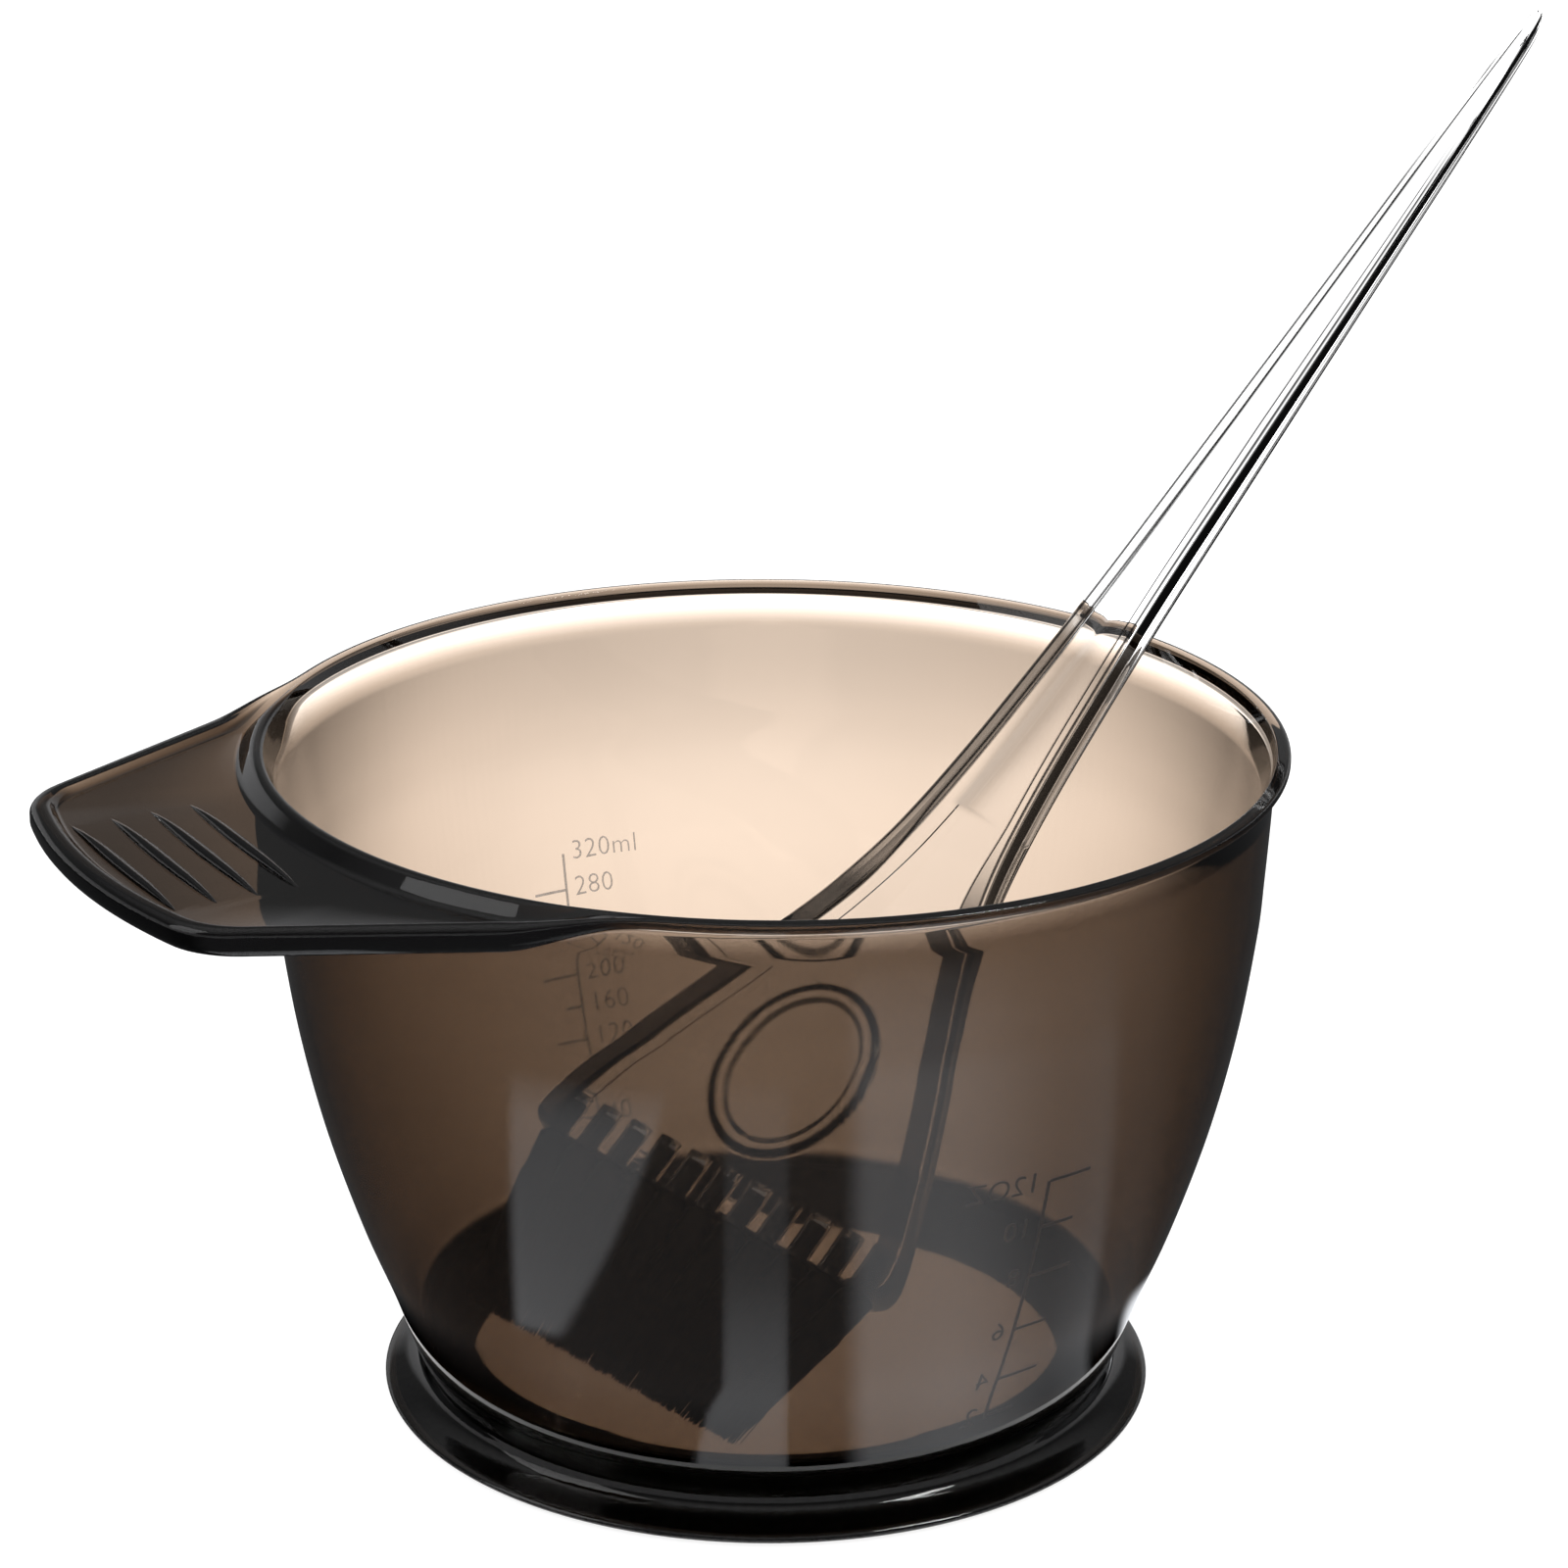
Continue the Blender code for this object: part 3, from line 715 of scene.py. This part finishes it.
def handle_ring(s, half, thick):
    """(t, n, painted shade) round the handle: the painted shade darkens lines along its edges and ridges,
    standing in for the dark surroundings that the clear plastic refracts there.
    """
    up = 0.5 * thick
    head = smoothstep(88.0, 70.0, s)
    fit = min(1.0, half / SLIM_HALF)
    border = (BORDER_W + (HEAD_BORDER_W - BORDER_W) * head) * fit
    step = BORDER_STEP * fit * smoothstep(24.0, 27.0, s)
    corner = min(0.35, 0.27 * half, 0.3 * up)
    end = smoothstep(214.0, 196.0, s)
    # painted shade levels: 1 leaves the plastic clear, lower values paint the dark lines and bands
    clear = 1.0
    line = 1.0 - 0.995 * end
    face = clear - 0.99 * head
    lower = 0.9 - 0.88 * head
    seam = clear - 0.9 * head
    swell = 0.04 * fit
    inner = half - border
    # the +t side, from the border's inner edge over the corner and the seam to the under face
    side = [(inner - 0.45 * fit, up - step, clear), (inner - 0.22 * fit, up - step, line),
            (inner, up - step, line), (inner + 0.16 * fit, up, face),
            (half - 0.40 * fit - corner, up, face), (half - 0.25 * fit - corner, up, line),
            (half - corner, up, line), (half - 0.3 * corner, up - 0.3 * corner, clear),
            (half, up - corner, 0.4), (half, up - corner - 0.12 * fit, 0.0),
            (half + 0.5 * swell, 0.06 * up, 0.0), (half + swell, 0.03 * up, seam),
            (half + swell, -0.05 * up, seam), (half + 0.5 * swell, -0.09 * up, 0.0),
            (half, -0.35 * up, 0.5 * lower), (half, -0.45 * up, lower),
            (half, corner - up + 0.32 * fit, lower), (half, corner - up + 0.25 * fit, 0.0),
            (half, corner - up, 0.0),
            (half - 0.3 * corner, 0.3 * corner - up, line), (half - corner, -up, clear),
            (half - 2.3 * fit, -up, clear), (half - 2.6 * fit, 0.25 * fit - up, clear)]
    flat = side[0][0]
    ring = []
    for k in range(TOP_POINTS):
        share = 1.0 - 2.0 * k / (TOP_POINTS - 1)
        t = flat * (0.45 * share + 0.55 * share ** 3) if flat > 12.0 else flat * share
        distance = oval_distance(s, t)
        ring.append((t, up - step + oval_height(distance), min(clear, oval_painted_shade(distance))))
    ring += [(-t, n, painted_shade) for t, n, painted_shade in side[1:]]
    ring += [(t, n, painted_shade) for t, n, painted_shade in side[:0:-1]]
    return ring


def make_handle(material, place):
    verts, faces, painted_shades = [], [], []
    sizes = handle_sizes()
    for s, half, thick in sizes:
        ring = handle_ring(s, half, thick)
        verts += [(s * MM, t * MM, n * MM) for t, n, painted_shade in ring]
        painted_shades += [painted_shade for t, n, painted_shade in ring]
    count = len(verts) // len(sizes)
    for i in range(len(sizes) - 1):
        for k in range(count):
            j = (k + 1) % count
            faces.append((i * count + k, i * count + j, (i + 1) * count + j, (i + 1) * count + k))
    faces.append(tuple(range(count))[::-1])
    last = (len(sizes) - 1) * count
    faces.append(tuple(last + k for k in range(count)))
    handle = mesh_object("tint_brush_handle", verts, faces, material)
    # painted shade along the handle's edges and ridges, stored per vertex for the clear plastic's colour
    handle.data.attributes.new("painted_shade", "FLOAT", "POINT").data.foreach_set("value", painted_shades)
    fix_normals(handle)
    bm = bmesh.new()
    turn = Matrix.Rotation(math.pi / 2, 4, "Y")
    depth = SOCKET_DEPTH + 1.0
    for index in range(TUFTS):
        centre = (index - (TUFTS - 1) / 2) * TUFT_PITCH
        middle = Matrix.Translation(Vector((BLOCK_S - 1.0 + 0.5 * depth, centre, 0.0)) * MM)
        bmesh.ops.create_cone(bm, cap_ends=True, segments=40, radius1=SOCKET_R * MM, radius2=SOCKET_R * MM,
                              depth=depth * MM, matrix=middle @ turn)
    mesh = bpy.data.meshes.new("sockets")
    bm.to_mesh(mesh)
    bm.free()
    sockets = bpy.data.objects.new("sockets", mesh)
    bpy.context.scene.collection.objects.link(sockets)
    boolean(handle, sockets, "DIFFERENCE")
    handle.data.materials.clear()
    handle.data.materials.append(material)
    handle.data.shade_smooth()
    handle.data.set_sharp_from_angle(angle=math.radians(40))
    handle.data.transform(place)
    return handle


def make_tuft(index, material, place):
    """Loose fibres round an opaque core, ragged at the tips."""
    centre = (index - (TUFTS - 1) / 2) * TUFT_PITCH
    spread = 0.5 * TUFT_PITCH - 0.1
    verts, faces = [], []

    def tube(path, radii):
        start = len(verts)
        sides = 4
        for (s, t, n), radius in zip(path, radii):
            for k in range(sides):
                a = 2 * math.pi * (k + 0.5) / sides
                verts.append((s * MM, (t + radius * math.cos(a)) * MM, (n + radius * math.sin(a)) * MM))
        for i in range(len(path) - 1):
            for k in range(sides):
                j = (k + 1) % sides
                faces.append((start + i * sides + k, start + i * sides + j,
                              start + (i + 1) * sides + j, start + (i + 1) * sides + k))
        faces.append(tuple(start + k for k in range(sides))[::-1])
        end = start + (len(path) - 1) * sides
        faces.append(tuple(end + k for k in range(sides)))

    for number in range(FIBRES):
        angle = rng.uniform(0, 2 * math.pi)
        rim = math.sqrt(rng.random())
        u, v = rim * math.cos(angle), rim * math.sin(angle)
        root_t, root_n = centre + ROOT_BUNDLE_R * u, ROOT_BUNDLE_R * v
        lean = rng.gauss(0.0, 0.25)
        tip_s = 0.6 + abs(rng.gauss(0.0, 0.7)) + (1.5 if rng.random() < 0.06 else 0.0)
        path = []
        for share in (0.0, 0.28, 0.4, 0.6, 0.8, 1.0):
            s = FIBRE_ROOT_S + (tip_s - FIBRE_ROOT_S) * share
            out = smoothstep(0.12, 0.5, share)
            narrow = 1.0 + (TIP_SPREAD - 1.0) * smoothstep(0.15, 1.0, share)
            half_t = ROOT_BUNDLE_R + (spread - ROOT_BUNDLE_R) * out
            half_n = ROOT_BUNDLE_R + (TUFT_HALF_N - ROOT_BUNDLE_R) * out - 0.9 * smoothstep(0.5, 1.0, share)
            t = centre * narrow + half_t * narrow * u * (1.0 + 0.1 * out)
            n = half_n * v
            path.append((s, t + lean * share ** 2, n + 0.15 * lean * share))
        path[0] = (FIBRE_ROOT_S, root_t, root_n)
        tube(path, (FIBRE_R,) * 5 + (0.6 * FIBRE_R,))
    bed = SOCKET_R + 0.01
    full = 0.5 * TUFT_PITCH + 0.03
    sections = ((29.0, 1.0, bed, bed), (BLOCK_S, 1.0, bed, bed), (23.6, 1.0, full, 2.0),
                (19.0, 0.96, full, 1.9), (8.0, 0.87, 0.87 * full, 1.1), (3.2, 0.83, 0.83 * full, 0.5))
    around = np.linspace(0, 2 * math.pi, 15)[:-1]
    core = [[(s, centre * share + half_t * math.cos(a), half_n * math.sin(a)) for a in around]
            for s, share, half_t, half_n in sections]
    start = len(verts)
    sides = len(core[0])
    for ring in core:
        verts += [(s * MM, t * MM, n * MM) for s, t, n in ring]
    for i in range(len(core) - 1):
        for k in range(sides):
            j = (k + 1) % sides
            faces.append((start + i * sides + k, start + i * sides + j,
                          start + (i + 1) * sides + j, start + (i + 1) * sides + k))
    faces.append(tuple(start + k for k in range(sides)))
    faces.append(tuple(start + (len(core) - 1) * sides + k for k in range(sides)))
    tuft = mesh_object(f"bristles_{index + 1:02d}", verts, faces, material)
    bm = bmesh.new()
    bm.from_mesh(tuft.data)
    bmesh.ops.recalc_face_normals(bm, faces=bm.faces[:])
    bm.to_mesh(tuft.data)
    bm.free()
    tuft.data.transform(place)
    return tuft


# ------------------------------------------------------------------ put together

def place_piece(piece, body, slot, *nodes):
    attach(piece, body)
    if nodes:
        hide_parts(*nodes)


def make_object():
    smoke, clear, black, hair = smoky_plastic(), clear_plastic(), rubber(), fibre()
    fine, bold = scale_marks("fine_scale_looks", 0.45), scale_marks("bold_scale_looks", 0.85)
    place_piece(make_bowl(smoke), "bowl", "smoky_plastic", "bowl_shell")
    place_piece(make_ring(black), "bowl", "non_slip_rubber", "non_slip_ring")
    place_piece(make_scale("scale_ml", ML_AZIMUTH, ML_MARKS, 0.3, 2.6, 1.2, 0.07, fine),
                "bowl", "smoky_plastic")
    place_piece(make_scale("scale_oz", OZ_AZIMUTH, OZ_MARKS, 0.4, 2.7, 1.3, 0.03, bold),
                "bowl", "smoky_plastic")
    place = brush_matrix()
    place_piece(make_handle(clear, place), "brush", "clear_plastic", "brush_handle")
    metal = steel()
    for index in range(TUFTS):
        number = f"{index + 1:02d}"
        place_piece(make_tuft(index, hair, place), "brush", "bristle_fibre", f"bristle_tuft_{number}")
        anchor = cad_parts[f"tuft_anchor_{number}"]
        anchor.data.materials.clear()
        anchor.data.materials.append(metal)


# ------------------------------------------------------------------ stage

def emission(name, colour, strength):
    material, tree, shader = new_material(name)
    tree.nodes.remove(shader)
    glow = tree.nodes.new("ShaderNodeEmission")
    glow.inputs["Color"].default_value = (*colour, 1.0)
    glow.inputs["Strength"].default_value = strength
    tree.links.new(glow.outputs["Emission"], tree.nodes["Material Output"].inputs["Surface"])
    return material


def hide_from_view(piece):
    """A studio card that only reflections see."""
    for what in ("camera", "diffuse", "transmission", "volume_scatter", "shadow"):
        setattr(piece, "visible_" + what, False)


def card_glow(r, azimuth):
    """Brightness of the floor as reflections see it, at r mm from the bowl's axis, azimuth in degrees."""
    x = r * math.cos(math.radians(azimuth))
    y = r * math.sin(math.radians(azimuth))
    # dim in general, a little brighter in front of the bowl
    front = (0.05 + 0.11 * band(-165.0, -30.0, azimuth, 12.0)) * smoothstep(50.0, 57.0, r)
    # pale window-like patch on the left of the wall
    window = 0.95 * smoothstep(-2.0, 2.0, 0.84 * (-62.0 - x) + 0.54 * (y + 24.0))
    window *= smoothstep(-172.0, -169.0, azimuth) * smoothstep(-120.0, -124.0, azimuth)
    window *= smoothstep(63.0, 66.0, r) * smoothstep(150.0, 125.0, r)
    # narrow strip down the middle of the wall, spreading at the foot
    flare = 4.5 * smoothstep(60.0, 51.0, r)
    strip = band(-127.2 - flare, -115.7, azimuth, 0.7) * (0.35 + 0.65 * smoothstep(90.0, 55.0, r))
    strip *= smoothstep(170.0, 130.0, r)
    # broad veil on the right of the wall, fading to the right
    veil = band(-103.0, -45.0, azimuth, 3.0) * (1.15 - 0.85 * smoothstep(-88.0, -58.0, azimuth))
    veil *= smoothstep(230.0, 150.0, r)
    # glint on the waist, on the +X side
    behind = band(-25.0, 30.0, azimuth, 5.0) * smoothstep(60.0, 53.0, r)
    return front + window + strip + veil + 1.2 * behind


def reflection_card():
    """Patchy floor that only reflections see, as a fine ring round the bowl."""
    radii = np.concatenate([np.linspace(49.5, 80.0, 50)[:-1], np.linspace(80.0, 300.0, 80)[:-1],
                            (1000.0, 3000.0)])
    azimuths = np.arange(-180.0, 180.0, 1.0)
    verts, faces, glow = [], [], []
    for r in radii:
        for azimuth in azimuths:
            a = math.radians(azimuth)
            verts.append((BOWL_X + r * MM * math.cos(a), r * MM * math.sin(a), 0.0006))
            glow.append(card_glow(r, azimuth))
    around = len(azimuths)
    for i in range(len(radii) - 1):
        for k in range(around):
            j = (k + 1) % around
            faces.append((i * around + k, (i + 1) * around + k, (i + 1) * around + j, i * around + j))
    material = emission("reflection_card", (0.94, 0.96, 1.0), 1.0)
    tree = material.node_tree
    level = tree.nodes.new("ShaderNodeAttribute")
    level.attribute_name = "glow"
    tree.links.new(level.outputs["Fac"], tree.nodes["Emission"].inputs["Strength"])
    card = mesh_object("reflection_card", verts, faces, material, smooth=False)
    card.data.attributes.new("glow", "FLOAT", "POINT").data.foreach_set("value", glow)
    hide_from_view(card)


def node_math(tree, operation, a, b):
    node = tree.nodes.new("ShaderNodeMath")
    node.operation = operation
    for socket, value in zip(node.inputs, (a, b)):
        if isinstance(value, float):
            socket.default_value = value
        else:
            tree.links.new(value, socket)
    return node.outputs["Value"]


def node_vector(tree, operation, vector, constant, output):
    node = tree.nodes.new("ShaderNodeVectorMath")
    node.operation = operation
    node.inputs[1].default_value = constant
    tree.links.new(vector, node.inputs[0])
    return node.outputs[output]


def node_eased(tree, value, low, high, start, end):
    node = tree.nodes.new("ShaderNodeMapRange")
    node.interpolation_type = "SMOOTHSTEP"
    for socket, number in (("From Min", low), ("From Max", high), ("To Min", start), ("To Max", end)):
        node.inputs[socket].default_value = number
    tree.links.new(value, node.inputs["Value"])
    return node.outputs["Result"]


def node_mix(tree, factor, a, b):
    node = tree.nodes.new("ShaderNodeMix")
    node.data_type = "RGBA"
    tree.links.new(factor, node.inputs["Factor"])
    for socket, value in (("A", a), ("B", b)):
        if isinstance(value, tuple):
            node.inputs[socket].default_value = value
        else:
            tree.links.new(value, node.inputs[socket])
    return node.outputs["Result"]


def make_floor():
    """Pale table; through the plastic, a lane behind the bowl and the middle of the ring are bright."""
    material, tree, shader = new_material("pale_floor")
    shader.inputs["Base Color"].default_value = (0.3, 0.3, 0.3, 1.0)
    shader.inputs["Roughness"].default_value = 1.0
    shader.inputs["Specular IOR Level"].default_value = 0.0
    shader.inputs["Emission Color"].default_value = (1.0, 1.0, 1.0, 1.0)
    place = tree.nodes.new("ShaderNodeTexCoord").outputs["Object"]
    axis = (BOWL_X, 0.0, 0.0)
    from_axis = node_vector(tree, "DISTANCE", place, axis, "Value")
    moved = node_vector(tree, "SUBTRACT", place, axis, "Vector")
    c, s = math.cos(VIEW_AZIMUTH), math.sin(VIEW_AZIMUTH)
    sideways = node_vector(tree, "DOT_PRODUCT", moved, (c, -s, 0.0), "Value")
    aside = node_math(tree, "ABSOLUTE", sideways, 0.0)
    lane = node_eased(tree, aside, *BACKLIGHT_WIDTH, 1.0, BACKLIGHT_SIDE)
    away = node_vector(tree, "DOT_PRODUCT", moved, (s, c, 0.0), "Value")
    reach = node_eased(tree, away, *BACKLIGHT_REACH, FLOOR_THROUGH, FLOOR_THROUGH * BACKLIGHT_FAR)
    shaded = node_eased(tree, from_axis, *FOOT_SHADE_R, 0.0, 1.0)
    beyond = node_math(tree, "MULTIPLY", node_math(tree, "MULTIPLY", lane, reach), shaded)
    middle = node_math(tree, "LESS_THAN", from_axis, (RING_IN_R + 1.0) * MM)
    glow = node_math(tree, "ADD", beyond, node_math(tree, "MULTIPLY", middle, FLOOR_MIDDLE))
    path = tree.nodes.new("ShaderNodeLightPath")
    level = tree.nodes.new("ShaderNodeMix")
    level.inputs["A"].default_value = FLOOR_SEEN
    tree.links.new(path.outputs["Is Transmission Ray"], level.inputs["Factor"])
    tree.links.new(glow, level.inputs["B"])
    tree.links.new(level.outputs["Result"], shader.inputs["Emission Strength"])
    h = FLOOR_HALF
    floor = mesh_object("floor", [(-h, -h, 0.0), (h, -h, 0.0), (h, h, 0.0), (-h, h, 0.0)], [(0, 1, 2, 3)],
                        material, smooth=False)


def make_world():
    """White studio to the eye, a dark sky with a pale horizon through plastic, and dim in reflections."""
    world = bpy.data.worlds.new("studio")
    bpy.context.scene.world = world
    world.use_nodes = True
    tree = world.node_tree
    background = tree.nodes["Background"]
    split = tree.nodes.new("ShaderNodeSeparateXYZ")
    tree.links.new(tree.nodes.new("ShaderNodeTexCoord").outputs["Generated"], split.inputs["Vector"])
    gain = tree.nodes.new("ShaderNodeVectorMath")
    gain.operation = "SCALE"
    gain.inputs["Scale"].default_value = FLOOR_THROUGH * BACKLIGHT_FAR
    tree.links.new(ramp(tree, split.outputs["Z"], SKY_THROUGH), gain.inputs[0])
    path = tree.nodes.new("ShaderNodeLightPath")
    mirrored = ramp(tree, split.outputs["Z"], SKY_MIRRORED)
    colour = node_mix(tree, path.outputs["Is Glossy Ray"], (SKY_SEEN, SKY_SEEN, SKY_SEEN, 1.0), mirrored)
    colour = node_mix(tree, path.outputs["Is Transmission Ray"], colour, gain.outputs["Vector"])
    tree.links.new(colour, background.inputs["Color"])
    background.inputs["Strength"].default_value = 1.0


def area_light(name, place, size, power):
    data = bpy.data.lights.new(name, "AREA")
    data.shape = "RECTANGLE"
    data.size, data.size_y = size
    data.energy = power
    lamp = bpy.data.objects.new(name, data)
    bpy.context.scene.collection.objects.link(lamp)
    lamp.location = place
    lamp.rotation_mode = "QUATERNION"
    lamp.rotation_quaternion = (Vector(LIGHT_TARGET) - Vector(place)).to_track_quat("-Z", "Y")


def make_camera():
    data = bpy.data.cameras.new("view")
    data.sensor_width = SENSOR_MM
    data.lens = LENS_MM
    data.clip_start, data.clip_end = 0.01, 50.0
    camera = bpy.data.objects.new("view", data)
    bpy.context.scene.collection.objects.link(camera)
    c, s = math.cos(VIEW_AZIMUTH), math.sin(VIEW_AZIMUTH)
    right = Vector((c, -s, 0.0))
    ahead = Vector((s * math.cos(VIEW_PITCH), c * math.cos(VIEW_PITCH), -math.sin(VIEW_PITCH)))
    up = right.cross(ahead)
    turned_right = right * math.cos(VIEW_ROLL) + up * math.sin(VIEW_ROLL)
    turned_up = up * math.cos(VIEW_ROLL) - right * math.sin(VIEW_ROLL)
    place = Matrix((turned_right, turned_up, -ahead)).transposed().to_4x4()
    place.translation = Vector(VIEW_PLACE)
    camera.matrix_world = place
    bpy.context.scene.camera = camera


def main():
    make_object()
    make_floor()
    make_world()
    reflection_card()
    for softbox in SOFTBOXES:
        area_light(*softbox)
    make_camera()
    scene = bpy.context.scene
    scene.view_settings.view_transform = "Standard"
    scene.cycles.max_bounces = 20
    scene.cycles.transmission_bounces = 20
    scene.cycles.transparent_max_bounces = 16


main()
